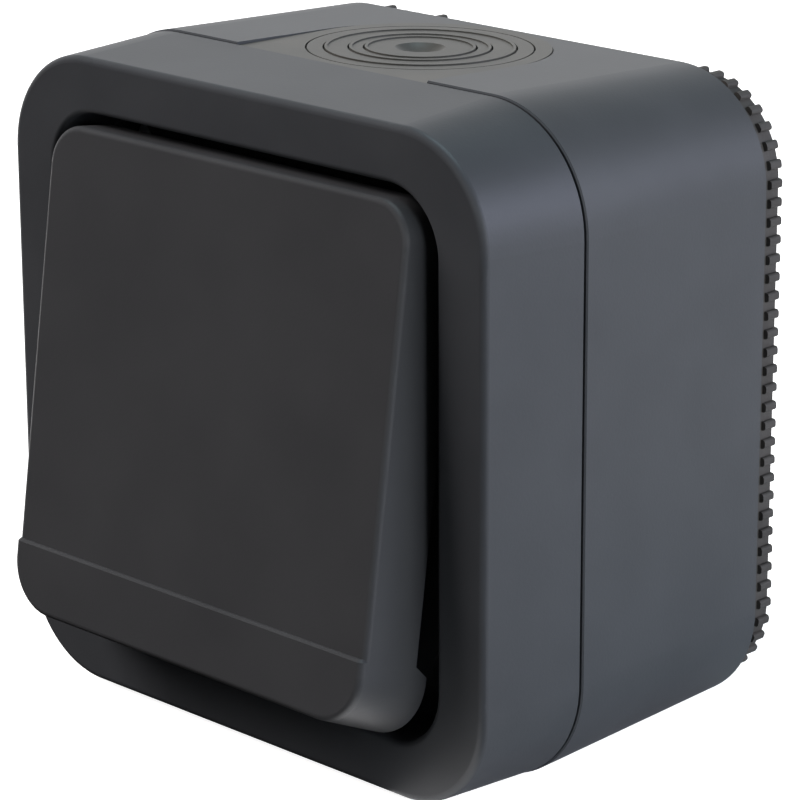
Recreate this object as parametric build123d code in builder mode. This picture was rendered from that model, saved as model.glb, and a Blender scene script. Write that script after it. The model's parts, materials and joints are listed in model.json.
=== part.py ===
from build123d import *
import os
from math import atan2, cos, degrees, radians, sin, sqrt, tan

# Surface-mounted waterproof push button switch, in millimetres.
# X runs to the right, Z up, and the front looks along -Y.
# The origin is midway between the two wall-fixing holes, on the rear box's back face.
# A depth is measured from that face towards the front.

# Housing
housing_width = 66.0
box_depth = 26.65
cover_depth = 12.3
cover_step = 0.15
seam_corner_radius = 11.7
front_corner_radius = 10.4
front_narrowing = 0.88
front_edge_radius = 0.7
box_draft = 2.05
wall = 2.2
floor_thickness = 2.2
face_thickness = 2.2
seam_gap = 0.3
back_chamfer = 0.3
rim_chamfer = 0.15

# Wall fixing
fixing_spacing = 40.0
fixing_hole_radius = 2.25
fixing_boss_radius = 4.6
fixing_boss_height = 1.0

# Wall seal
seal_proud = 3.3
seal_inset = 1.45
seal_width = 3.0
seal_tongue_width = 1.0
seal_tongue_height = 1.0
rib_pitch = 1.85
rib_width = 0.9
rib_height = 0.5
rib_length = 1.6
smooth_from = -11.0
smooth_to = 20.5
tall_rib_left = -21.2
tall_rib_right = -13.8
tall_rib_height = 0.8

# Joint between box and cover
cover_seal_height = 1.0
tongue_thickness = 1.6
tongue_length = 2.4
tongue_tie = 1.5
ledge_height = 1.5
soft_clearance = 0.1
slip_clearance = 0.2

# Cable entry
entry_half_width = 12.9
entry_from_seam = 12.38
entry_recess = 0.05
entry_front_gap = 0.05
entry_slope = 1.0
entry_lip = 1.5
entry_lip_thickness = 1.2
membrane_thickness = 1.2
bead_radii = [9.3, 6.9, 5.4]
bead_width = 0.3
bead_height = 0.12
groove_width = 0.18
groove_depth = 0.4
flange_ring_radius = 11.0
dimple_radius = 2.5
dimple_depth = 0.8

# Rocker and its recess
frame_side = 8.45
frame_end = 7.35
rocker_rise = -0.85
rocker_draft = 1.0
toe_draft = 17.0
rocker_wall = 1.8
rocker_edge_radius = 0.6
rocker_top_radius = 4.0
rocker_bottom_radius = 6.5
face_reach = 9.05
skirt_depth = 6.75
top_skirt_depth = 4.3
toe_depth = 8.25
toe_height = 6.8
toe_ramp = 1.2
lip_height = 9.46
lip_rise = 0.45
ledge_chamfer = 0.25
rest_tilt = 8.25
pivot_sink = 4.0
side_gap = 1.6
end_gap = 1.05
recess_depth = 6.9
recess_wall = 1.8
opening_radius = 6.2
opening_edge_radius = 0.6
partition_thickness = 2.2

# Rocker bearing
trunnion_radius = 1.5
trunnion_length = 2.5
running_clearance = 0.05
ear_thickness = 2.0
ear_radius = 2.5
ear_gap = 0.3
lug_thickness = 2.5
lug_radius = 3.2
lug_gap = 3.3
stop_height = 16.0
stop_pad_length = 2.5
stop_gap = 0.3

# Cover screws
cover_boss_radius = 4.4
cover_boss_gap = 2.27
cover_screw_radius = 1.5
cover_screw_length = 15.0
cover_head_radius = 2.8
cover_head_height = 1.7
screw_seal_thickness = 0.7
screw_sink = 3.0
screw_clearance = 0.05
head_clearance = 0.3
pilot_extra = 1.0

# Mechanism
plate_thickness = 2.0
plate_overhang = 0.3
tab_gap = 4.8
tab_height = 9.0
tab_end = 3.5
mechanism_post_radius = 3.2
mechanism_screw_radius = 1.5
mechanism_screw_length = 10.0
mechanism_head_radius = 2.7
mechanism_head_height = 1.4
tray_gap = 0.6
tray_height = 35.0
tray_depth = 13.0
tray_wall = 1.6
tray_floor = 1.8
base_boss_radius = 2.3
base_screw_radius = 1.0
base_screw_length = 8.0
base_head_radius = 1.9
base_head_height = 1.0

# Plunger, boot and spring
plunger_arm = 10.0
nose_radius = 2.0
nose_edge_radius = 1.1
nose_gap = 0.4
stem_radius = 1.6
stem_neck_radius = 1.2
cap_radius = 3.4
cap_height = 1.3
cap_socket = 0.9
cap_gap = 0.2
collar_radius = 2.2
collar_height = 0.6
collar_gap = 0.3
guide_radius = 3.2
guide_length = 2.5
spring_pocket_radius = 3.3
spring_pocket_depth = 2.4
spring_radius = 2.4
spring_wire = 0.5
spring_turns = 5
boot_boss_height = 1.6
boot_reach = 3.1
boot_thickness = 0.6
boot_top_radius = 4.6
boot_base_radius = 5.6
boot_flange_radius = 7.2
boot_flange = 1.0
boot_clearance = 0.6

# Contacts and terminals
contact_gap = 1.5
strip_width = 3.6
strip_gap = 1.65
strip_thickness = 0.8
strip_end = 13.0
tip_radius = 1.6
tip_height = 0.8
bridge_end = 2.0
bridge_width = 4.0
bridge_thickness = 0.8
tail_radius = 1.1
tail_cap_radius = 1.9
tail_cap_height = 0.7
terminal_height = 11.0
cage_width = 6.0
cage_length = 6.5
cage_depth = 8.2
cage_wall = 0.9
clamp_length = 5.0
clamp_thickness = 0.8
wire_room = 3.2
terminal_screw_radius = 1.5
terminal_head_radius = 2.2
terminal_head_height = 1.4
terminal_head_lift = 1.2
driver_hole_radius = 2.6
wire_notch_width = 5.0
seat_length = 7.0

# Depths and widths that follow from the sizes above
seam = box_depth
cover_front = box_depth + cover_depth
draft_shift = box_depth * tan(radians(box_draft))
back_width = housing_width - 2 * draft_shift
back_corner_radius = seam_corner_radius - draft_shift
rear_width = housing_width - 2 * cover_step
front_width = housing_width - 2 * front_narrowing
tongue_width = housing_width - 2 * (wall + slip_clearance)
tongue_radius = seam_corner_radius - wall - slip_clearance
tongue_end = seam - tongue_length
ledge_top = tongue_end - cover_seal_height
partition_front = cover_front - recess_depth
partition_back = partition_front - partition_thickness
rocker_width = housing_width - 2 * frame_side
rocker_height = housing_width - 2 * frame_end
rocker_top = rocker_rise + rocker_height / 2
rocker_bottom = rocker_rise - rocker_height / 2
opening_width = rocker_width + 2 * side_gap
opening_height = rocker_height + 2 * end_gap
ear_offset = rocker_width / 2 - rocker_wall - lug_gap - lug_thickness - ear_gap - ear_thickness
boot_seat = partition_back - boot_flange
plate_front = boot_seat - boot_boss_height
plate_back = plate_front - plate_thickness
tray_back = plate_back - tray_depth
tray_inside = tray_back + tray_floor
head_seat = partition_front - screw_sink - cover_head_height - screw_seal_thickness
boss_meeting = tongue_end
boss_shift = tongue_radius - tongue_thickness - cover_boss_gap - cover_boss_radius
cover_screw_spacing = tongue_width - 2 * tongue_radius + sqrt(2) * boss_shift
tray_width = cover_screw_spacing - 2 * (cover_boss_radius + tray_gap)
plate_width = tray_width + 2 * plate_overhang
plate_height = tray_height + 2 * plate_overhang
tab_reach = housing_width / 2 - wall - tab_gap
mechanism_screw_spacing = 2 * (tab_reach - tab_end)
base_screw_spacing = tray_width - 2 * tray_wall - base_boss_radius
contact_spacing = base_screw_spacing - 2 * (base_boss_radius + strip_gap) - strip_width
bridge_length = contact_spacing + 2 * bridge_end
pivot_depth = cover_front - pivot_sink

# The nose presses the boot at the plunger's axis while the rocker is at rest.
tilt_sine = sin(radians(rest_tilt))
tilt_cosine = cos(radians(rest_tilt))
boot_front = partition_front + boot_reach
cap_front = boot_front - boot_thickness - cap_gap
cap_back = cap_front - cap_height
spring_seat = boot_seat - spring_pocket_depth
nose_height = (boot_front + nose_gap - pivot_depth - plunger_arm * tilt_sine) / tilt_cosine

strip_back = tray_inside + cage_wall
strip_front = strip_back + strip_thickness
fixed_tip_front = strip_front + tip_height
bridge_back = fixed_tip_front + contact_gap + tip_height
bridge_front = bridge_back + bridge_thickness
cage_front = tray_inside + cage_depth
clamp_back = strip_front + wire_room
clamp_front = clamp_back + clamp_thickness


def facing(depth):
    """Plane parallel to the wall at a depth, seen from the front: X right, Z up."""
    return Plane.XZ.offset(depth)


def ring(outer, outer_radius, thickness):
    """Sketch of a square ring with rounded corners."""
    inner = outer - 2 * thickness
    RectangleRounded(outer, outer, outer_radius)
    RectangleRounded(inner, inner, outer_radius - thickness, mode=Mode.SUBTRACT)


# The box's top slopes with its draft. The grommet's top slopes less.
entry_depth = seam - entry_from_seam
entry_height = back_width / 2 + entry_depth * tan(radians(box_draft))
entry_inner_back = entry_depth - floor_thickness


def entry_face(slope, rise):
    """Plane through the cable entry's middle, raised a little, with Y to the back."""
    return Plane(
        origin=(0, -entry_depth, entry_height + rise),
        x_dir=(1, 0, 0),
        z_dir=(0, sin(radians(slope)), cos(radians(slope))),
    )


box_top = entry_face(box_draft, 0)
grommet_top = entry_face(entry_slope, -entry_recess)


def entry_outline(half_width, front_reach, back_reach):
    """Sketch of the cable entry: an arc at the back and straight sides towards the seam."""
    Circle(half_width)
    with Locations((0, -front_reach / 2)):
        Rectangle(2 * half_width, front_reach)
    with Locations((0, (back_reach - front_reach) / 2)):
        Rectangle(2 * half_width, back_reach + front_reach, mode=Mode.INTERSECT)


# Rear box
with BuildPart() as rear_box:
    with BuildSketch(facing(0)):
        RectangleRounded(back_width, back_width, back_corner_radius)
    extrude(amount=seam - seam_gap / 2, taper=-box_draft)
    chamfer(rear_box.faces().sort_by(Axis.Y)[-1].edges(), back_chamfer)
    chamfer(rear_box.faces().sort_by(Axis.Y)[0].edges(), rim_chamfer)
    floor_shift = floor_thickness * tan(radians(box_draft)) - wall
    with BuildSketch(facing(floor_thickness)):
        cavity_width = back_width + 2 * floor_shift
        RectangleRounded(cavity_width, cavity_width, back_corner_radius + floor_shift)
    extrude(amount=box_depth, taper=-box_draft, mode=Mode.SUBTRACT)
    with BuildSketch(facing(ledge_top - ledge_height)):
        ring(tongue_width + wall, tongue_radius + wall / 2, tongue_thickness + wall / 2)
    extrude(amount=ledge_height)
    with BuildSketch(facing(floor_thickness / 2)):
        with GridLocations(cover_screw_spacing, cover_screw_spacing, 2, 2):
            Circle(cover_boss_radius)
    extrude(amount=boss_meeting - floor_thickness / 2)
    with BuildSketch(facing(floor_thickness / 2)):
        with GridLocations(mechanism_screw_spacing, 0, 2, 1):
            Circle(mechanism_post_radius)
    extrude(amount=plate_back - floor_thickness / 2)
    with BuildSketch(facing(floor_thickness / 2)):
        with GridLocations(0, fixing_spacing, 1, 2):
            Circle(fixing_boss_radius)
    extrude(amount=floor_thickness / 2 + fixing_boss_height)
    cover_pilot = head_seat + screw_seal_thickness - cover_screw_length - pilot_extra
    with BuildSketch(facing(cover_pilot)):
        with GridLocations(cover_screw_spacing, cover_screw_spacing, 2, 2):
            Circle(cover_screw_radius + screw_clearance)
    extrude(amount=boss_meeting - cover_pilot, mode=Mode.SUBTRACT)
    mechanism_pilot = plate_front - mechanism_screw_length - pilot_extra
    with BuildSketch(facing(mechanism_pilot)):
        with GridLocations(mechanism_screw_spacing, 0, 2, 1):
            Circle(mechanism_screw_radius + screw_clearance)
    extrude(amount=plate_back - mechanism_pilot, mode=Mode.SUBTRACT)
    with BuildSketch(facing(0)):
        with GridLocations(0, fixing_spacing, 1, 2):
            Circle(fixing_hole_radius)
    extrude(amount=floor_thickness + fixing_boss_height, mode=Mode.SUBTRACT)
    with BuildSketch(facing(0)):
        groove_inset = seal_inset + (seal_width - seal_tongue_width) / 2
        groove_outer = back_width - 2 * groove_inset + 2 * soft_clearance
        groove_corner = back_corner_radius - groove_inset + soft_clearance
        ring(groove_outer, groove_corner, seal_tongue_width + 2 * soft_clearance)
    extrude(amount=seal_tongue_height + soft_clearance, mode=Mode.SUBTRACT)
    with BuildSketch(box_top):
        entry_outline(entry_half_width, entry_from_seam + wall, entry_inner_back)
    extrude(amount=-(wall + slip_clearance + tongue_thickness + soft_clearance), mode=Mode.SUBTRACT)
    with BuildSketch(box_top.offset(-wall)):
        entry_outline(entry_half_width, entry_from_seam + wall, entry_half_width)
    extrude(amount=2 * wall, mode=Mode.SUBTRACT)
rear_box.part.label = "rear_box"
export_step(rear_box.part, "parts/rear_box.step")

# Wall seal: a rubber ring with ribs across its outer edge. The ribs leave out a stretch of the top,
# and two of those on its left part stand taller.
seal_outer = back_width - 2 * seal_inset
seal_corner = back_corner_radius - seal_inset
with BuildPart() as wall_seal:
    with BuildSketch(facing(-seal_proud)) as seal_band:
        ring(seal_outer, seal_corner, seal_width)
    extrude(amount=seal_proud)
    with BuildSketch(facing(0)):
        tongue_inset = (seal_width - seal_tongue_width) / 2
        ring(seal_outer - 2 * tongue_inset, seal_corner - tongue_inset, seal_tongue_width)
    extrude(amount=seal_tongue_height)
    seal_edge = seal_band.sketch.faces()[0].outer_wire()
    rib_count = round(seal_edge.length / rib_pitch)
    rib_places = []
    tall_rib_places = []
    for index in range(rib_count):
        point = seal_edge.position_at(index / rib_count)
        along = seal_edge.tangent_at(index / rib_count)
        place = Location((point.X, point.Z), degrees(atan2(along.Z, along.X)))
        on_top = point.Z > seal_outer / 2 - rib_height
        from_tall_rib = min(abs(point.X - tall_rib_left), abs(point.X - tall_rib_right))
        if on_top and from_tall_rib < rib_pitch / 2:
            tall_rib_places.append(place)
        elif not on_top or not smooth_from < point.X < smooth_to:
            rib_places.append(place)
    with BuildSketch(facing(-seal_proud)):
        with Locations(*rib_places):
            RectangleRounded(rib_width, 2 * rib_height, rib_width / 3)
        with Locations(*tall_rib_places):
            RectangleRounded(rib_width, 2 * tall_rib_height, rib_width / 3)
    extrude(amount=rib_length)
wall_seal.part.label = "wall_seal"
export_step(wall_seal.part, "parts/wall_seal.step")

# Cable grommet: a rubber insert with a thin ringed membrane and a lip behind the box's wall
grommet_half_width = entry_half_width - soft_clearance
grommet_reach = entry_from_seam + seam_gap / 2 - entry_front_gap
flange_thickness = wall - entry_recess - slip_clearance
lip_reach = entry_from_seam - (seam - ledge_top) - ledge_height - slip_clearance
lip_back = entry_inner_back - slip_clearance
membrane_radius = bead_radii[0] - bead_width
with BuildPart() as cable_grommet:
    with BuildSketch(grommet_top.offset(-flange_thickness)):
        entry_outline(grommet_half_width, grommet_reach, grommet_half_width)
    extrude(amount=flange_thickness)
    with BuildSketch(box_top.offset(-wall - soft_clearance)):
        entry_outline(grommet_half_width - seam_gap, lip_reach, lip_back)
    extrude(amount=wall / 2)
    with BuildSketch(box_top.offset(-wall - soft_clearance)):
        entry_outline(entry_half_width + entry_lip, lip_reach, lip_back)
    extrude(amount=-entry_lip_thickness)
    with BuildSketch(grommet_top.offset(-membrane_thickness)):
        Circle(membrane_radius)
    extrude(amount=-wall - entry_lip_thickness, mode=Mode.SUBTRACT)
    with BuildSketch(grommet_top):
        for bead_radius in bead_radii:
            Circle(bead_radius)
            Circle(bead_radius - bead_width, mode=Mode.SUBTRACT)
    extrude(amount=bead_height)
    with BuildSketch(grommet_top):
        for ring_radius in [flange_ring_radius, *bead_radii]:
            Circle(ring_radius + groove_width)
            Circle(ring_radius, mode=Mode.SUBTRACT)
    extrude(amount=-groove_depth, mode=Mode.SUBTRACT)
    dimple_ball = (dimple_radius**2 + dimple_depth**2) / (2 * dimple_depth)
    with Locations(grommet_top.offset(dimple_ball - dimple_depth)):
        Sphere(dimple_ball, mode=Mode.SUBTRACT)
cable_grommet.part.label = "cable_grommet"
export_step(cable_grommet.part, "parts/cable_grommet.step")

# Front cover: outer shell, recess for the rocker, tongue into the box, bosses and bearing lugs
lug_inside = ear_offset + ear_thickness + ear_gap
with BuildPart() as front_cover:
    with BuildSketch(facing(seam + seam_gap / 2)):
        RectangleRounded(rear_width, rear_width, seam_corner_radius - cover_step)
    with BuildSketch(facing(cover_front)):
        RectangleRounded(front_width, front_width, front_corner_radius)
    loft()
    fillet(front_cover.faces().sort_by(Axis.Y)[0].edges(), front_edge_radius)
    with BuildSketch(facing(seam + seam_gap / 2)):
        inside_width = housing_width - 2 * wall
        RectangleRounded(inside_width, inside_width, seam_corner_radius - wall)
    with BuildSketch(facing(cover_front - face_thickness)):
        inside_front = front_width - 2 * wall
        RectangleRounded(inside_front, inside_front, front_corner_radius - wall)
    loft(mode=Mode.SUBTRACT)
    with BuildSketch(facing(partition_back)):
        RectangleRounded(
            opening_width + 2 * recess_wall,
            opening_height + 2 * recess_wall,
            opening_radius + recess_wall,
        )
    extrude(amount=cover_front - face_thickness / 2 - partition_back)
    with BuildSketch(facing(partition_front)):
        RectangleRounded(opening_width, opening_height, opening_radius)
    extrude(amount=recess_depth, mode=Mode.SUBTRACT)
    fillet(front_cover.faces().sort_by(Axis.Y)[0].inner_wires()[0].edges(), opening_edge_radius)
    with BuildSketch(facing(tongue_end)):
        ring(tongue_width, tongue_radius, tongue_thickness)
    extrude(amount=tongue_length + seam_gap / 2 + tongue_tie)
    with BuildSketch(facing(seam + seam_gap / 2)):
        ring(tongue_width + wall, tongue_radius + wall / 2, tongue_thickness + wall / 2)
    extrude(amount=tongue_tie)
    with BuildSketch(facing(boss_meeting)):
        with GridLocations(cover_screw_spacing, cover_screw_spacing, 2, 2):
            Circle(cover_boss_radius)
    extrude(amount=partition_back + partition_thickness / 2 - boss_meeting)
    with BuildSketch(facing(boss_meeting)):
        with GridLocations(cover_screw_spacing, cover_screw_spacing, 2, 2):
            Circle(cover_screw_radius + slip_clearance)
    extrude(amount=partition_front - boss_meeting, mode=Mode.SUBTRACT)
    with BuildSketch(facing(head_seat)):
        with GridLocations(cover_screw_spacing, cover_screw_spacing, 2, 2):
            Circle(cover_head_radius + head_clearance)
    extrude(amount=partition_front - head_seat, mode=Mode.SUBTRACT)
    with BuildSketch(facing(partition_back)):
        with Locations((0, -plunger_arm)):
            Circle(boot_base_radius + boot_clearance)
    extrude(amount=partition_thickness, mode=Mode.SUBTRACT)
    for lug_start in (lug_inside, -lug_inside - lug_thickness):
        with BuildSketch(Plane.YZ.offset(lug_start)):
            with Locations((-pivot_depth, 0)):
                Circle(lug_radius)
            with Locations((-(pivot_depth + partition_front) / 2, 0)):
                Rectangle(pivot_depth - partition_front, 2 * lug_radius)
            with Locations((-pivot_depth, 0)):
                Circle(trunnion_radius + running_clearance, mode=Mode.SUBTRACT)
        extrude(amount=lug_thickness)
    pad_top = pivot_depth + (face_reach - skirt_depth) * tilt_cosine - stop_height * tilt_sine - stop_gap
    with BuildSketch(facing(partition_front)):
        with Locations((0, stop_height)):
            with GridLocations(rocker_width - rocker_wall, 0, 2, 1):
                Rectangle(rocker_wall, stop_pad_length)
    extrude(amount=pad_top - partition_front)
front_cover.part.label = "front_cover"
export_step(front_cover.part, "parts/front_cover.step")

# Cover seal
with BuildPart() as cover_seal:
    with BuildSketch(facing(ledge_top)):
        ring(tongue_width, tongue_radius, tongue_thickness)
    extrude(amount=cover_seal_height)
cover_seal.part.label = "cover_seal"
export_step(cover_seal.part, "parts/cover_seal.step")

# Rubber washers under the cover screws
with BuildPart() as screw_seals:
    with BuildSketch(facing(head_seat)):
        with GridLocations(cover_screw_spacing, cover_screw_spacing, 2, 2):
            Circle(cover_head_radius)
            Circle(cover_screw_radius + soft_clearance, mode=Mode.SUBTRACT)
    extrude(amount=screw_seal_thickness)
screw_seals.part.label = "screw_seals"
export_step(screw_seals.part, "parts/screw_seals.step")


def screw_set(spacing_x, spacing_z, under_head, shank, length, head, head_height):
    """Pan-head screws at the corners of a grid, pointing at the wall. Zero spacing means one row."""
    rows = 2 if spacing_z else 1
    with BuildPart() as screws:
        with BuildSketch(facing(under_head - length)):
            with GridLocations(spacing_x, spacing_z, 2, rows):
                Circle(shank)
        extrude(amount=length)
        with BuildSketch(facing(under_head)):
            with GridLocations(spacing_x, spacing_z, 2, rows):
                Circle(head)
        extrude(amount=head_height)
    return screws.part


cover_screws = screw_set(
    cover_screw_spacing,
    cover_screw_spacing,
    head_seat + screw_seal_thickness,
    cover_screw_radius,
    cover_screw_length,
    cover_head_radius,
    cover_head_height,
)
cover_screws.label = "cover_screws"
export_step(cover_screws, "parts/cover_screws.step")

mechanism_screws = screw_set(
    mechanism_screw_spacing,
    0,
    plate_front,
    mechanism_screw_radius,
    mechanism_screw_length,
    mechanism_head_radius,
    mechanism_head_height,
)
mechanism_screws.label = "mechanism_screws"
export_step(mechanism_screws, "parts/mechanism_screws.step")

base_screws = screw_set(
    base_screw_spacing,
    0,
    plate_front,
    base_screw_radius,
    base_screw_length,
    base_head_radius,
    base_head_height,
)
base_screws.label = "base_screws"
export_step(base_screws, "parts/base_screws.step")

# Rocker, drawn in its own tilted frame: X across, Y up along the face, heights from the pivot
rocker_frame = Plane(
    origin=(0, -pivot_depth, 0),
    x_dir=(1, 0, 0),
    z_dir=(0, -tilt_cosine, tilt_sine),
)
rocker_side = Plane(
    origin=(0, -pivot_depth, 0),
    x_dir=(0, tilt_sine, tilt_cosine),
    z_dir=(1, 0, 0),
)
skirt_height = face_reach - skirt_depth
top_skirt_height = face_reach - top_skirt_depth
top_skirt_start = rocker_top - rocker_top_radius
toe_end = face_reach - toe_depth
toe_edge = rocker_bottom + toe_height
lip_edge = rocker_bottom + lip_height
lip_top = face_reach + lip_rise
inside_height = face_reach - rocker_wall
outward = Axis((0, -pivot_depth, 0), (0, -tilt_cosine, tilt_sine))


def rocker_outline(height, inset):
    """Sketch of the rocker's outline at a height from the pivot. Its lower end flares most."""
    lean = (height - toe_end) * tan(radians(rocker_draft)) + inset
    low_lean = (height - toe_end) * tan(radians(toe_draft)) + inset
    top = rocker_top - lean
    bottom = rocker_bottom + low_lean
    with Locations((0, (top + bottom) / 2)):
        Rectangle(rocker_width - 2 * lean, top - bottom)
    fillet(vertices().group_by(Axis.Y)[-1], rocker_top_radius - inset)
    fillet(vertices().group_by(Axis.Y)[0], rocker_bottom_radius - low_lean / 2)


def rocker_block(low, high, inset, mode=Mode.ADD):
    """Block between two heights with the rocker's outline, drawn in from it by the inset."""
    ends = []
    for height in (low, high):
        with BuildSketch(rocker_frame.offset(height)) as end:
            rocker_outline(height, inset)
        ends.append(end.sketch)
    loft(ends, ruled=True, mode=mode)


# The lip is a slightly prouder copy of the rocker's lower end, cut off square at the ledge
with BuildPart() as rocker_lip:
    rocker_block(toe_end, lip_top, 0)
    fillet(rocker_lip.faces().sort_by(outward)[-1].edges(), rocker_edge_radius)
    ledge_line = Plane(rocker_frame.from_local_coords((0, lip_edge, 0)), (1, 0, 0), rocker_frame.y_dir)
    split(bisect_by=ledge_line, keep=Keep.BOTTOM)
    ledge_rim = rocker_lip.faces().sort_by(outward)[-1].edges().sort_by(Axis.Z)[-1]
    chamfer(ledge_rim, ledge_chamfer)

with BuildPart() as rocker:
    rocker_block(toe_end, face_reach, 0)
    fillet(rocker.faces().sort_by(outward)[-1].edges(), rocker_edge_radius)
    add(rocker_lip.part)
    with BuildSketch(rocker_side):
        with BuildLine():
            Polyline(
                (toe_edge, toe_end - skirt_depth),
                (toe_edge, toe_end),
                (toe_edge + toe_ramp, skirt_height),
                (top_skirt_start, skirt_height),
                (top_skirt_start, top_skirt_height),
                (rocker_height, top_skirt_height),
                (rocker_height, toe_end - skirt_depth),
                close=True,
            )
        make_face()
    extrude(amount=rocker_width, both=True, mode=Mode.SUBTRACT)
    rocker_block(toe_end - rocker_wall, inside_height, rocker_wall, Mode.SUBTRACT)
    for ear_start in (ear_offset, -ear_offset - ear_thickness):
        with BuildSketch(rocker_side.offset(ear_start)):
            Circle(ear_radius)
            with Locations((0, (inside_height + rocker_wall / 2) / 2)):
                Rectangle(2 * ear_radius, inside_height + rocker_wall / 2)
        extrude(amount=ear_thickness)
    with BuildSketch(rocker_side.offset(ear_offset + ear_thickness)):
        Circle(trunnion_radius)
    extrude(amount=trunnion_length)
    with BuildSketch(rocker_side.offset(-ear_offset - ear_thickness)):
        Circle(trunnion_radius)
    extrude(amount=-trunnion_length)
    with BuildSketch(rocker_frame.offset(nose_height)):
        with Locations((0, -plunger_arm)):
            Circle(nose_radius)
    extrude(amount=inside_height + rocker_wall / 2 - nose_height)
    nose_face = rocker.faces().filter_by(rocker_frame).sort_by(outward)[0]
    fillet(nose_face.edges(), nose_edge_radius)
rocker.part.label = "rocker"
export_step(rocker.part, "parts/rocker.step")

# Turned pieces share the plunger's axis: profiles are given as (radius, depth)
plunger_section = Plane(origin=(0, 0, -plunger_arm), x_dir=(1, 0, 0), z_dir=(0, 0, 1))
plunger_axis = Axis((0, 0, -plunger_arm), (0, 1, 0))


def turned(profile):
    """Solid of revolution about the plunger's axis."""
    with BuildPart() as solid:
        with BuildSketch(plunger_section):
            with BuildLine():
                Polyline([(radius, -depth) for radius, depth in profile], close=True)
            make_face()
        revolve(axis=plunger_axis)
    return solid.part


# Sealing boot: a thin rubber cap whose flange is clamped between cover and mechanism
sealing_boot = turned(
    [
        (0, boot_front),
        (boot_top_radius, boot_front),
        (boot_base_radius, partition_back),
        (boot_flange_radius, partition_back),
        (boot_flange_radius, boot_seat),
        (boot_base_radius - boot_thickness, boot_seat),
        (boot_base_radius - boot_thickness, partition_back),
        (boot_top_radius - boot_thickness, boot_front - boot_thickness),
        (0, boot_front - boot_thickness),
    ]
)
sealing_boot.label = "sealing_boot"
export_step(sealing_boot, "parts/sealing_boot.step")

# Plunger with its collar, neck for the cap, and the staked tail that holds the bridge
collar_front = plate_back - guide_length - collar_gap
plunger = turned(
    [
        (0, cap_back + cap_socket),
        (stem_neck_radius, cap_back + cap_socket),
        (stem_neck_radius, cap_back),
        (stem_radius, cap_back),
        (stem_radius, collar_front),
        (collar_radius, collar_front),
        (collar_radius, collar_front - collar_height),
        (stem_radius, collar_front - collar_height),
        (stem_radius, bridge_front),
        (tail_radius, bridge_front),
        (tail_radius, bridge_back),
        (tail_cap_radius, bridge_back),
        (tail_cap_radius, bridge_back - tail_cap_height),
        (0, bridge_back - tail_cap_height),
    ]
)
plunger.label = "plunger"
export_step(plunger, "parts/plunger.step")

# Plunger cap, pressed on the neck
plunger_cap = turned(
    [
        (0, cap_front),
        (cap_radius, cap_front),
        (cap_radius, cap_back),
        (stem_neck_radius + screw_clearance, cap_back),
        (stem_neck_radius + screw_clearance, cap_back + cap_socket + screw_clearance),
        (0, cap_back + cap_socket + screw_clearance),
    ]
)
plunger_cap.label = "plunger_cap"
export_step(plunger_cap, "parts/plunger_cap.step")

# Return spring
with BuildPart() as return_spring:
    coil_start = spring_seat + spring_wire / 2 + screw_clearance
    coil_end = cap_back - spring_wire / 2 - screw_clearance
    with BuildLine() as coil:
        Helix(
            pitch=(coil_end - coil_start) / spring_turns,
            height=coil_end - coil_start,
            radius=spring_radius,
            center=(0, -coil_start, -plunger_arm),
            direction=(0, -1, 0),
        )
    with BuildSketch(Plane(origin=coil.line @ 0, z_dir=coil.line % 0)):
        Circle(spring_wire / 2)
    sweep(path=coil.line, is_frenet=True)
return_spring.part.label = "return_spring"
export_step(return_spring.part, "parts/return_spring.step")

# Mechanism cover: plate with fixing tabs, boot boss, spring pocket and plunger guide
with BuildPart() as mechanism_cover:
    with BuildSketch(facing(plate_back)):
        Rectangle(plate_width, plate_height)
        Rectangle(2 * tab_reach, tab_height)
        with GridLocations(mechanism_screw_spacing, 0, 2, 1):
            Circle(mechanism_screw_radius + slip_clearance, mode=Mode.SUBTRACT)
        with GridLocations(base_screw_spacing, 0, 2, 1):
            Circle(base_screw_radius + slip_clearance, mode=Mode.SUBTRACT)
        with Locations((0, terminal_height)):
            with GridLocations(contact_spacing, 0, 2, 1):
                Circle(driver_hole_radius, mode=Mode.SUBTRACT)
    extrude(amount=plate_thickness)
    with BuildSketch(facing(plate_front)):
        with Locations((0, -plunger_arm)):
            Circle(boot_flange_radius)
    extrude(amount=boot_boss_height)
    with BuildSketch(facing(plate_back - guide_length)):
        with Locations((0, -plunger_arm)):
            Circle(guide_radius)
    extrude(amount=guide_length)
    with BuildSketch(facing(spring_seat)):
        with Locations((0, -plunger_arm)):
            Circle(spring_pocket_radius)
    extrude(amount=spring_pocket_depth, mode=Mode.SUBTRACT)
    with BuildSketch(facing(plate_back - guide_length)):
        with Locations((0, -plunger_arm)):
            Circle(stem_radius + running_clearance)
    extrude(amount=spring_seat - plate_back + guide_length, mode=Mode.SUBTRACT)
mechanism_cover.part.label = "mechanism_cover"
export_step(mechanism_cover.part, "parts/mechanism_cover.step")

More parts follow.
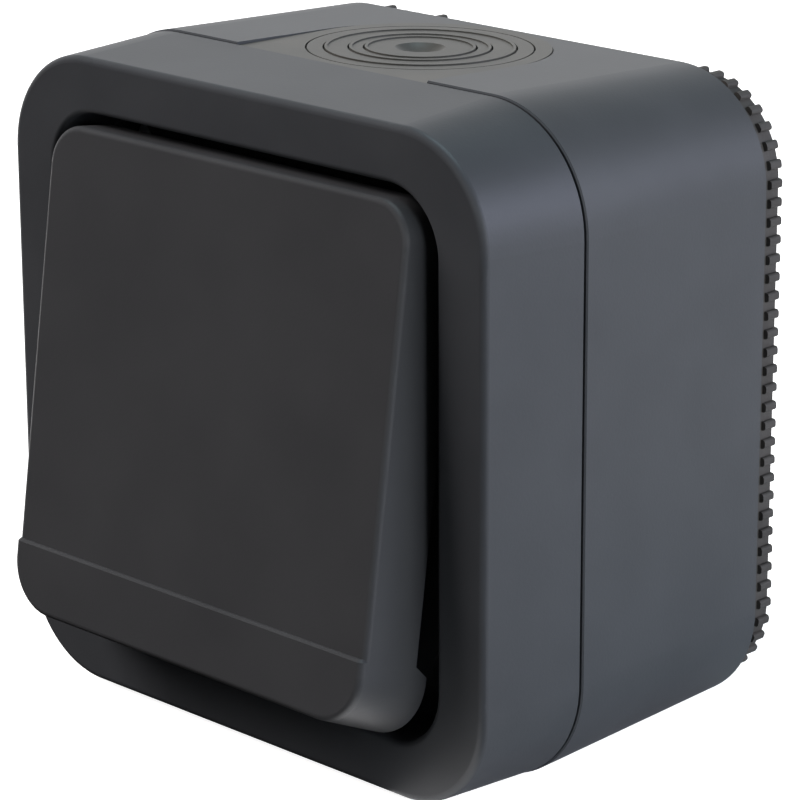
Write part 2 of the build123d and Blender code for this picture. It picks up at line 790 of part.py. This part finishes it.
# Mechanism base: tray with wire notches, strip seats and two screw bosses
with BuildPart() as mechanism_base:
    with BuildSketch(facing(tray_back)):
        Rectangle(tray_width, tray_height)
    extrude(amount=tray_depth)
    with BuildSketch(facing(tray_inside)):
        Rectangle(tray_width - 2 * tray_wall, tray_height - 2 * tray_wall)
    extrude(amount=tray_depth, mode=Mode.SUBTRACT)
    with BuildSketch(facing(tray_inside)):
        with Locations((0, -plunger_arm)):
            with GridLocations(contact_spacing, 0, 2, 1):
                Rectangle(strip_width, seat_length)
    extrude(amount=strip_back - tray_inside)
    with BuildSketch(facing(tray_inside)):
        with GridLocations(base_screw_spacing, 0, 2, 1):
            Circle(base_boss_radius)
    extrude(amount=plate_back - tray_inside)
    base_pilot = plate_front - base_screw_length - pilot_extra
    with BuildSketch(facing(base_pilot)):
        with GridLocations(base_screw_spacing, 0, 2, 1):
            Circle(base_screw_radius + screw_clearance)
    extrude(amount=plate_back - base_pilot, mode=Mode.SUBTRACT)
    with BuildSketch(facing(strip_front)):
        with Locations((0, tray_height / 2)):
            with GridLocations(contact_spacing, 0, 2, 1):
                Rectangle(wire_notch_width, 4 * tray_wall)
    extrude(amount=clamp_front - strip_front, mode=Mode.SUBTRACT)
mechanism_base.part.label = "mechanism_base"
export_step(mechanism_base.part, "parts/mechanism_base.step")

# Contact bridge and its two tips
with BuildPart() as contact_bridge:
    with BuildSketch(facing(bridge_back)):
        with Locations((0, -plunger_arm)):
            SlotOverall(bridge_length, bridge_width)
            Circle(tail_radius + screw_clearance, mode=Mode.SUBTRACT)
    extrude(amount=bridge_thickness)
contact_bridge.part.label = "contact_bridge"
export_step(contact_bridge.part, "parts/contact_bridge.step")


def contact_tips(depth):
    """Pair of contact tips that face each other across the contact gap."""
    with BuildPart() as tips:
        with BuildSketch(facing(depth)):
            with Locations((0, -plunger_arm)):
                with GridLocations(contact_spacing, 0, 2, 1):
                    Circle(tip_radius)
        extrude(amount=tip_height)
    return tips.part


bridge_tips = contact_tips(bridge_back - tip_height)
bridge_tips.label = "bridge_tips"
export_step(bridge_tips, "parts/bridge_tips.step")

fixed_tips = contact_tips(strip_front)
fixed_tips.label = "fixed_tips"
export_step(fixed_tips, "parts/fixed_tips.step")

# Contact strips and wire cages, one of each on either side
for side, middle in (("left", -contact_spacing / 2), ("right", contact_spacing / 2)):
    strip_top = terminal_height + cage_length / 2
    with BuildPart() as contact_strip:
        with BuildSketch(facing(strip_back)):
            with Locations((middle, (strip_top - strip_end) / 2)):
                Rectangle(strip_width, strip_top + strip_end)
        extrude(amount=strip_thickness)
    contact_strip.part.label = f"{side}_contact"
    export_step(contact_strip.part, f"parts/{side}_contact.step")

    with BuildPart() as terminal_cage:
        with BuildSketch(Plane.XY.offset(terminal_height - cage_length / 2)):
            with Locations((middle, -(tray_inside + cage_front) / 2)):
                Rectangle(cage_width, cage_depth)
                Rectangle(cage_width - 2 * cage_wall, cage_depth - 2 * cage_wall, mode=Mode.SUBTRACT)
        extrude(amount=cage_length)
        with BuildSketch(facing(cage_front - cage_wall)):
            with Locations((middle, terminal_height)):
                Circle(terminal_screw_radius + screw_clearance)
        extrude(amount=cage_wall, mode=Mode.SUBTRACT)
    terminal_cage.part.label = f"{side}_terminal"
    export_step(terminal_cage.part, f"parts/{side}_terminal.step")

# Clamp plates that press the wires in the cages
with BuildPart() as clamp_plates:
    with BuildSketch(facing(clamp_back)):
        with Locations((0, terminal_height)):
            with GridLocations(contact_spacing, 0, 2, 1):
                Rectangle(cage_width - 2 * cage_wall - 2 * slip_clearance, clamp_length)
    extrude(amount=clamp_thickness)
clamp_plates.part.label = "clamp_plates"
export_step(clamp_plates.part, "parts/clamp_plates.step")

# Terminal screws
with BuildPart() as terminal_screws:
    with BuildSketch(facing(clamp_front)):
        with Locations((0, terminal_height)):
            with GridLocations(contact_spacing, 0, 2, 1):
                Circle(terminal_screw_radius)
    extrude(amount=cage_front + terminal_head_lift - clamp_front)
    with BuildSketch(facing(cage_front + terminal_head_lift)):
        with Locations((0, terminal_height)):
            with GridLocations(contact_spacing, 0, 2, 1):
                Circle(terminal_head_radius)
    extrude(amount=terminal_head_height)
terminal_screws.part.label = "terminal_screws"
export_step(terminal_screws.part, "parts/terminal_screws.step")
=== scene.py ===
# %% [markdown]
# # A waterproof push button switch
# This lesson dresses the imported solids of a surface-mounted wall switch. The solids already have
# their true sizes and smooth normals, so they keep their meshes and get finishes. Only the spring
# and the boot get merged copies in their place. Then come the studio, the lights and the camera.

import json
from math import asin, cos, degrees, radians, sin

import bmesh
import bpy
from mathutils import Matrix, Vector


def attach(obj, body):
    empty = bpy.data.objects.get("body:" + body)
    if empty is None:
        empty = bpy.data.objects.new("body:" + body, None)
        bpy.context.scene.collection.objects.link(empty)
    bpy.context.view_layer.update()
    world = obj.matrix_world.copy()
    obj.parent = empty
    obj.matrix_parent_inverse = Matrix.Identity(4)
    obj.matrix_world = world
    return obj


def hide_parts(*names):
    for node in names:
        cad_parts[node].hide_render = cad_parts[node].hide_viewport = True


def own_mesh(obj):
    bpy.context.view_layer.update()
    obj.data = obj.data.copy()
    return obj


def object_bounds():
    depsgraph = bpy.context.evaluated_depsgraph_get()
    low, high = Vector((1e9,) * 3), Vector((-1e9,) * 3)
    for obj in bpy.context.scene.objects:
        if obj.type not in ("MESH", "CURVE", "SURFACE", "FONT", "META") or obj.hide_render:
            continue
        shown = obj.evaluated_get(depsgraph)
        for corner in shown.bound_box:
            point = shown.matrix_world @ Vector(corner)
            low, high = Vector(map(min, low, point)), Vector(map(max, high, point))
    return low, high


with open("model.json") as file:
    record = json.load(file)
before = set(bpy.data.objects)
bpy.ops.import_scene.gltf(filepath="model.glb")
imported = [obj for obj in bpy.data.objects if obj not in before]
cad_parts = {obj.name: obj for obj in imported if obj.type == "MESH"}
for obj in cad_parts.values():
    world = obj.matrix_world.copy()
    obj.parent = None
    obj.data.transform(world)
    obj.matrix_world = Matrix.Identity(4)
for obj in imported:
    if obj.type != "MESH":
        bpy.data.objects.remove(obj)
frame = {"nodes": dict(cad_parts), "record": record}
nodes = frame["nodes"]
cad_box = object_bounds()
MM = 0.001
box_mm = [[round(value / MM, 1) for value in corner] for corner in cad_box]
print("solids:", len(nodes), "box in mm:", box_mm)

# %% [markdown]
# ## Colours and nodes
# Colours are written as the hex values that a paint program shows. A shader wants linear light,
# so one function converts them. A second one adds a shader node, with its settings and links.
# Patterns are given in millimetres, and a third function turns such a size into a noise's scale.


# %% Helpers for materials
def linear(hex_colour):
    """Linear RGBA of an sRGB hex colour. The numbers are those of the sRGB standard."""
    channels = [int(hex_colour[i : i + 2], 16) / 255 for i in (1, 3, 5)]
    return [c / 12.92 if c <= 0.04045 else ((c + 0.055) / 1.055) ** 2.4 for c in channels] + [1.0]


def add_node(tree, kind, settings=None, **inputs):
    """A new node. Settings are its own properties; inputs are values or sockets to link."""
    node = tree.nodes.new(kind)
    for name, value in (settings or {}).items():
        setattr(node, name, value)
    for name, value in inputs.items():
        socket = node.inputs[name.replace("_", " ")]
        if isinstance(value, bpy.types.NodeSocket):
            tree.links.new(value, socket)
        else:
            socket.default_value = value
    return node


def new_material(name):
    """A plain node material, with its tree and its shader."""
    material = bpy.data.materials.new(name)
    material.use_nodes = True
    tree = material.node_tree
    return material, tree, tree.nodes["Principled BSDF"]


def per_metre(size_mm):
    """Scale of a noise whose features are about this size."""
    return 1 / (size_mm * MM)


print("anthracite in linear light:", [round(c, 3) for c in linear("#37383A")])

# %% [markdown]
# ## Moulded plastic
# Box, cover and rocker are injection moulded in an anthracite weatherproof plastic. The mould was
# spark eroded, which leaves a fine grain: light spreads softly and there are no sharp
# reflections. An image texture would need unwrapping, so a noise on the object's own coordinates
# draws the grain. Moulded pieces also vary a little in colour where the melt flowed, so a second,
# broad noise tints them between two close colours.

# %% Moulded finishes
tint_span = (0.3, 0.7)  # most of a noise lies between these two values
skin_strength = 0.4


def moulded(name, hexes, roughness, level, cloud_mm, grain_mm, relief_mm):
    """Plastic or rubber from a mould: a faint cloudiness in its colour and a grain in its skin."""
    material, tree, shader = new_material(name)
    place = add_node(tree, "ShaderNodeTexCoord").outputs["Object"]
    cloud = add_node(
        tree, "ShaderNodeTexNoise", Vector=place, Scale=per_metre(cloud_mm), Detail=3.0
    )
    tint = add_node(tree, "ShaderNodeValToRGB", Fac=cloud.outputs["Fac"])
    for stop, hex_colour, position in zip(tint.color_ramp.elements, hexes, tint_span):
        stop.color = linear(hex_colour)
        stop.position = position
    tree.links.new(tint.outputs["Color"], shader.inputs["Base Color"])
    grain = add_node(
        tree, "ShaderNodeTexNoise", Vector=place, Scale=per_metre(grain_mm), Detail=2.0
    )
    skin = add_node(
        tree,
        "ShaderNodeBump",
        Height=grain.outputs["Fac"],
        Strength=skin_strength,
        Distance=relief_mm * MM,
    )
    tree.links.new(skin.outputs["Normal"], shader.inputs["Normal"])
    shader.inputs["Roughness"].default_value = roughness
    shader.inputs["Specular IOR Level"].default_value = level
    print(name, "grain", grain_mm, "mm")
    return material


# The real grain is about 0.1 mm wide, which a pixel can't show, so it is drawn three times as
# coarse. The rocker is touched every day and is a little smoother than the housing.
housing_plastic = moulded(
    "anthracite_spark_eroded_plastic",
    hexes=("#313336", "#36383B"),
    roughness=0.48,
    level=0.5,
    cloud_mm=9,
    grain_mm=0.3,
    relief_mm=0.02,
)
rocker_plastic = moulded(
    "anthracite_rocker_plastic",
    hexes=("#313234", "#353638"),
    roughness=0.46,
    level=0.5,
    cloud_mm=12,
    grain_mm=0.3,
    relief_mm=0.02,
)

# %% [markdown]
# ## Rubber
# The wall seal, the cover seal, the washers and the boot are moulded in black rubber. It is
# rougher than the plastic and browner, and its highlights are broad and weak. The grommet is a
# softer grey rubber, close to the housing. A shader of their own would repeat the plastic's, so
# the same function makes both, with a coarser grain.

# %% Rubber finishes
seal_rubber = moulded(
    "black_moulded_rubber",
    hexes=("#383634", "#42403E"),
    roughness=0.62,
    level=0.3,
    cloud_mm=3,
    grain_mm=0.4,
    relief_mm=0.07,
)
grommet_rubber = moulded(
    "grey_moulded_rubber",
    hexes=("#393937", "#42413E"),
    roughness=0.5,
    level=0.5,
    cloud_mm=6,
    grain_mm=0.35,
    relief_mm=0.02,
)

# %% [markdown]
# ## The plastics inside
# The mechanism's tray and lid are moulded in an off-white plastic that stands heat, and the
# plunger in natural white nylon. Both look satin and a little warm. They only show when the
# switch is taken apart and could stay plain, but the model is also used in pieces.

# %% Inner plastics
mechanism_plastic = moulded(
    "off_white_heat_proof_plastic",
    hexes=("#D5D1C6", "#DDDAD0"),
    roughness=0.45,
    level=0.5,
    cloud_mm=7,
    grain_mm=0.4,
    relief_mm=0.02,
)
plunger_plastic = moulded(
    "natural_white_nylon",
    hexes=("#E4E1D8", "#EDEBE4"),
    roughness=0.38,
    level=0.5,
    cloud_mm=5,
    grain_mm=0.4,
    relief_mm=0.01,
)

# %% [markdown]
# ## Metals
# Contacts and terminals are stamped from brass strip, the tips are silver, and screws, spring and
# clamp plates are zinc plated steel. A metal's colour is its reflection, so the shader is
# metallic. Handling and plating leave it unevenly bright: a noise varies the roughness between
# two values. An anisotropic shader would need a direction on each face, so the scratches are a
# stretched noise that raises the skin.

# %% Metal finishes
scratch_stretch = (1.0, 1.0, 0.05)  # twenty times as long as wide, along Z
scratch_strength = 0.2
scratch_depth = 0.01 * MM


def worked_metal(name, hex_colour, roughness_range, patch_mm, scratch_mm):
    """Bare or plated metal with uneven brightness and fine scratches along one direction."""
    material, tree, shader = new_material(name)
    place = add_node(tree, "ShaderNodeTexCoord").outputs["Object"]
    shader.inputs["Base Color"].default_value = linear(hex_colour)
    shader.inputs["Metallic"].default_value = 1.0
    patches = add_node(
        tree, "ShaderNodeTexNoise", Vector=place, Scale=per_metre(patch_mm), Detail=4.0
    )
    shine = add_node(tree, "ShaderNodeMapRange", Value=patches.outputs["Fac"])
    shine.inputs["To Min"].default_value, shine.inputs["To Max"].default_value = roughness_range
    tree.links.new(shine.outputs["Result"], shader.inputs["Roughness"])
    drawn = add_node(tree, "ShaderNodeMapping", Vector=place, Scale=scratch_stretch)
    lines = add_node(
        tree,
        "ShaderNodeTexNoise",
        Vector=drawn.outputs["Vector"],
        Scale=per_metre(scratch_mm),
    )
    skin = add_node(
        tree,
        "ShaderNodeBump",
        Height=lines.outputs["Fac"],
        Strength=scratch_strength,
        Distance=scratch_depth,
    )
    tree.links.new(skin.outputs["Normal"], shader.inputs["Normal"])
    print(name, "roughness", roughness_range)
    return material


# Real scratches are far finer. These are as wide as a pixel or a little more, so that they show.
terminal_brass = worked_metal(
    "stamped_brass_strip", "#D9B65C", roughness_range=(0.22, 0.4), patch_mm=2.0, scratch_mm=0.15
)
contact_silver = worked_metal(
    "silver_contact_metal", "#E2DFD8", roughness_range=(0.2, 0.35), patch_mm=1.0, scratch_mm=0.1
)
zinc_steel = worked_metal(
    "zinc_plated_steel", "#B9BCC0", roughness_range=(0.25, 0.45), patch_mm=1.5, scratch_mm=0.15
)

# %% [markdown]
# ## Dressing the solids
# Every solid gets the finish of its real material. A solid could be replaced by a mesh of the
# scene, but the ones that show have rounded edges already, so the meshes stay as they are.

# %% Dress the solids
finishes = {
    housing_plastic: ["rear_box", "front_cover"],
    rocker_plastic: ["rocker"],
    seal_rubber: ["wall_seal", "cover_seal", "screw_seals", "sealing_boot"],
    grommet_rubber: ["cable_grommet"],
    mechanism_plastic: ["mechanism_base", "mechanism_cover"],
    plunger_plastic: ["plunger", "plunger_cap"],
    terminal_brass: [
        "left_contact",
        "right_contact",
        "left_terminal",
        "right_terminal",
        "contact_bridge",
    ],
    contact_silver: ["fixed_tips", "bridge_tips"],
    zinc_steel: [
        "cover_screws",
        "base_screws",
        "mechanism_screws",
        "return_spring",
        "clamp_plates",
        "terminal_screws",
    ],
}
for material, names in finishes.items():
    for name in names:
        nodes[name].data.materials.clear()
        nodes[name].data.materials.append(material)
    print(material.name, "on", ", ".join(names))

# %% [markdown]
# ## Spring and boot
# When the rocker is pressed, the coil spring shortens and the rubber boot bends in with the
# plunger. A shape key would need its own control, and a rigid solid would be cut by the plunger's
# head. So a copy of each solid, with its triangles merged and its form kept, stands in for it. The
# record says which solids these are.

# %% Spring and boot
record = frame["record"]
joints = record["behaviour"]["joints"]
slide = next(joint for joint in joints if joint["name"] == "plunger_slide")
merge_distance = 0.001 * MM
sharp_angle = radians(30)


def flexible_copy(name):
    """A merged, smooth-shaded copy of a solid, hung on the housing, that takes the solid's place.
    """
    shape = bmesh.new()
    shape.from_mesh(nodes[name].data)
    bmesh.ops.remove_doubles(shape, verts=shape.verts, dist=merge_distance)
    mesh = bpy.data.meshes.new(f"flexible_{name}")
    shape.to_mesh(mesh)
    shape.free()
    mesh.materials.append(nodes[name].data.materials[0])
    mesh.shade_smooth()
    mesh.set_sharp_from_angle(angle=sharp_angle)
    piece = bpy.data.objects.new(mesh.name, mesh)
    bpy.context.scene.collection.objects.link(piece)
    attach(piece, "housing")
    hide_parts(name)
    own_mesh(piece)


for soft in slide["deforming_nodes"]:
    flexible_copy(soft["node"])

# %% [markdown]
# ## Studio
# The photograph has a plain white surround. A curved backdrop could give that, but the other
# views would see its edges. Here it is one large pale floor under a sky that is white near the
# horizon and dim overhead, as in a white room with a dark ceiling. Their own light is seen only
# by the camera and by reflections, so they look white without lighting the switch, and the switch
# still throws a faint shadow on the floor.


# %% Floor
def seen_light(tree, strength):
    """Strength for rays from the camera, from reflections and through glass, none for the rest."""
    rays = add_node(tree, "ShaderNodeLightPath")
    seen = rays.outputs["Is Camera Ray"]
    for kind in ("Is Glossy Ray", "Is Transmission Ray"):
        either = add_node(tree, "ShaderNodeMath", {"operation": "MAXIMUM"})
        tree.links.new(seen, either.inputs[0])
        tree.links.new(rays.outputs[kind], either.inputs[1])
        seen = either.outputs[0]
    scaled = add_node(tree, "ShaderNodeMath", {"operation": "MULTIPLY"})
    tree.links.new(seen, scaled.inputs[0])
    scaled.inputs[1].default_value = strength
    return scaled.outputs[0]


def flat_sheet(name, half_size, place, material):
    """A square sheet of the studio, made level around the origin and then put in its place."""
    mesh = bpy.data.meshes.new(name)
    sheet = bmesh.new()
    bmesh.ops.create_grid(sheet, x_segments=1, y_segments=1, size=half_size, matrix=place)
    sheet.to_mesh(mesh)
    sheet.free()
    mesh.materials.append(material)
    piece = bpy.data.objects.new(name, mesh)
    bpy.context.scene.collection.objects.link(piece)
    return piece


def dull(name, hex_colour):
    """A studio material that mirrors nothing, with its tree and its shader."""
    material, tree, shader = new_material(name)
    shader.inputs["Base Color"].default_value = linear(hex_colour)
    shader.inputs["Roughness"].default_value = 0.9
    shader.inputs["Specular IOR Level"].default_value = 0.0
    return material, tree, shader


# Matt white paint: it looks white in the picture and shows the switch's shadow as a soft grey.
floor_gap = 0.1 * MM  # keeps the switch's lowest face clear of the floor
floor_level = cad_box[0][2] - floor_gap
floor_half = 3.0
floor_glow = 0.9
floor_white, tree, shader = dull("white_studio_floor", "#C8C8C8")
shader.inputs["Emission Color"].default_value = linear("#FFFFFF")
tree.links.new(seen_light(tree, floor_glow), shader.inputs["Emission Strength"])
flat_sheet("floor", floor_half, Matrix.Translation((0, 0, floor_level)), floor_white)
print("floor at", round(floor_level / MM, 2), "mm")

# %% [markdown]
# ## Cloths and paper
# The switch's front would mirror the white floor before it and turn grey, and its right side
# would turn pale. A darker floor would show in the picture. So, as a photographer does, black
# cloth is laid before the switch and at its right front, another one stands farther off, and plain
# grey paper lies on the right. The small black cloth under the switch is painted shade: it stands
# in for the switch's shadow on the floor, which the floor's even glow doesn't show in reflections.
# Here they are hidden from the camera and throw no shadow. A small patch of white floor stays free
# between cloth and paper, so that the lowest right corner of the front is a little lighter.

# %% Cloths and paper
# Velvet swallows light, so what mirrors it stays dark. The paper gives a plain light grey.
velvet = dull("black_velvet", "#0A0A0A")[0]
paper_grey = dull("grey_drawing_paper", "#D0D0D0")[0]
sheet_gap = 0.05 * MM  # half of the floor's gap, so the cloth under the switch doesn't touch it
lying_level = floor_level + sheet_gap
turned_to_switch = Matrix.Rotation(radians(-45), 4, "Z")
upright = turned_to_switch @ Matrix.Rotation(radians(90), 4, "X")


def lying(x, y):
    """The place of a sheet that lies on the floor, its middle at x and y in metres."""
    return Matrix.Translation((x, y, lying_level))


# The second value is half of a sheet's side, in metres.
sheets = [
    flat_sheet("front_cloth", 0.5, lying(-0.2, -0.56), velvet),
    flat_sheet("side_cloth", 0.25, lying(0.286, -0.288), velvet),
    # Painted shade: this black sheet under the switch stands in for its shadow on the floor, as
    # its lowest faces mirror it.
    flat_sheet("painted_shade_under_switch", 0.05, lying(-0.031, -0.012), velvet),
    flat_sheet("standing_cloth", 0.5, Matrix.Translation((-0.5, -0.5, 0)) @ upright, velvet),
    flat_sheet("right_paper", 0.5, lying(0.52, 0.462), paper_grey),
]
for sheet in sheets:
    sheet.visible_camera = False
    sheet.visible_shadow = False
    far_corner = [round(max(v.co[k] for v in sheet.data.vertices), 3) for k in range(3)]
    print(sheet.name, "reaches", far_corner, "m")

# %% [markdown]
# ## Sky
# The room around is white up to the height of a backdrop, and its ceiling is dim. The top of the
# switch mirrors the backdrop at a flat angle and turns light, as in the photograph. A picture of
# a real room would do the same, but a colour ramp over the height needs no file.

# %% Sky
white_up_to, dim_from = 0.3, 0.7  # sines of the elevation
sky_strength = 1.0
world = bpy.data.worlds.new("studio")
bpy.context.scene.world = world
world.use_nodes = True
sky_tree = world.node_tree
sky = sky_tree.nodes["Background"]
direction = add_node(sky_tree, "ShaderNodeTexCoord").outputs["Generated"]
height = add_node(sky_tree, "ShaderNodeSeparateXYZ", Vector=direction).outputs["Z"]
fade = add_node(sky_tree, "ShaderNodeValToRGB", Fac=height)
backdrop, ceiling = fade.color_ramp.elements
backdrop.position, ceiling.position = white_up_to, dim_from
backdrop.color = linear("#FFFFFF")
ceiling.color = linear("#404040")
sky_tree.links.new(fade.outputs["Color"], sky.inputs["Color"])
sky_tree.links.new(seen_light(sky_tree, sky_strength), sky.inputs["Strength"])
print("sky is white up to", round(degrees(asin(white_up_to))), "degrees")

# %% [markdown]
# ## Lights
# The main light comes from the upper left in front: the rocker shades the frame's right side and
# the strip below it. Cool lights above, on the right and behind on the right give the top corners
# and the right side their bluish tone, and a weak one behind grazes the top. Point lamps would
# throw hard shadows, so all are large area lights. The main one and the one on the right have a
# polarising filter, as for photographs of paintings: they light the switch, but its rounded edges
# don't mirror them.


# %% Lights
def softbox(name, place, size, strength, hex_colour, mirrored=True):
    """A rectangular light that faces the switch. Place and size in metres, strength in watts."""
    lamp = bpy.data.lights.new(name, "AREA")
    lamp.shape = "RECTANGLE"
    lamp.size, lamp.size_y = size
    lamp.energy = strength
    lamp.color = linear(hex_colour)[:3]
    box = bpy.data.objects.new(name, lamp)
    bpy.context.scene.collection.objects.link(box)
    turn = (-Vector(place)).to_track_quat("-Z", "Y").to_matrix().to_4x4()
    box.matrix_world = Matrix.Translation(place) @ turn
    box.visible_glossy = mirrored
    print(name, strength, "W")


softbox("overhead_softbox", (0.0, 0.1, 0.9), (0.5, 0.5), 2.7, "#D4F6FF")
softbox("left_front_softbox", (-0.75, -0.55, 0.7), (0.7, 0.7), 27.0, "#FFF7F4", mirrored=False)
softbox("rear_softbox", (-0.6, 0.7, 0.3), (0.8, 0.4), 0.41, "#FFFFFF")
softbox("right_softbox", (0.9, -0.05, 0.2), (0.5, 0.5), 9.0, "#F6FAFF", mirrored=False)
softbox("right_rear_softbox", (0.75, 0.42, 0.32), (0.5, 0.4), 3.1, "#D7DEFF")

# %% [markdown]
# ## Camera
# A camera could be placed by eye, but then edges and reflections would not fall where they do in
# the photograph. So its place and lens were fitted to the switch's edges there, in the same frame
# as the solids: azimuth and elevation of the view, a slight roll and the distance.

# %% Camera
view_azimuth = radians(44.901)
view_elevation = radians(17.080)
view_roll = radians(-0.228)
view_distance = 372.054 * MM
view_right = -12.151 * MM
view_up = -6.112 * MM
focal_pixels = 3642.77
image_pixels = 800
sensor_mm = 36.0
nearest_seen = 10 * MM

right = Vector((cos(view_azimuth), sin(view_azimuth), 0))
back = Vector(
    (
        sin(view_azimuth) * cos(view_elevation),
        -cos(view_azimuth) * cos(view_elevation),
        sin(view_elevation),
    )
)
up = back.cross(right)
camera_x = right * cos(view_roll) + up * sin(view_roll)
camera_y = up * cos(view_roll) - right * sin(view_roll)
spot = camera_x * view_right + camera_y * view_up + back * view_distance

lens = bpy.data.cameras.new("photo_camera")
lens.sensor_width = sensor_mm
lens.lens = sensor_mm * focal_pixels / image_pixels
lens.clip_start = nearest_seen
camera = bpy.data.objects.new("photo_camera", lens)
bpy.context.scene.collection.objects.link(camera)
axes = Matrix((camera_x, camera_y, back)).transposed().to_4x4()
camera.matrix_world = Matrix.Translation(spot) @ axes
bpy.context.scene.camera = camera
bpy.context.scene.view_settings.view_transform = "Standard"
print("camera at", [round(v / MM, 1) for v in spot], "mm, lens", round(lens.lens, 1), "mm")
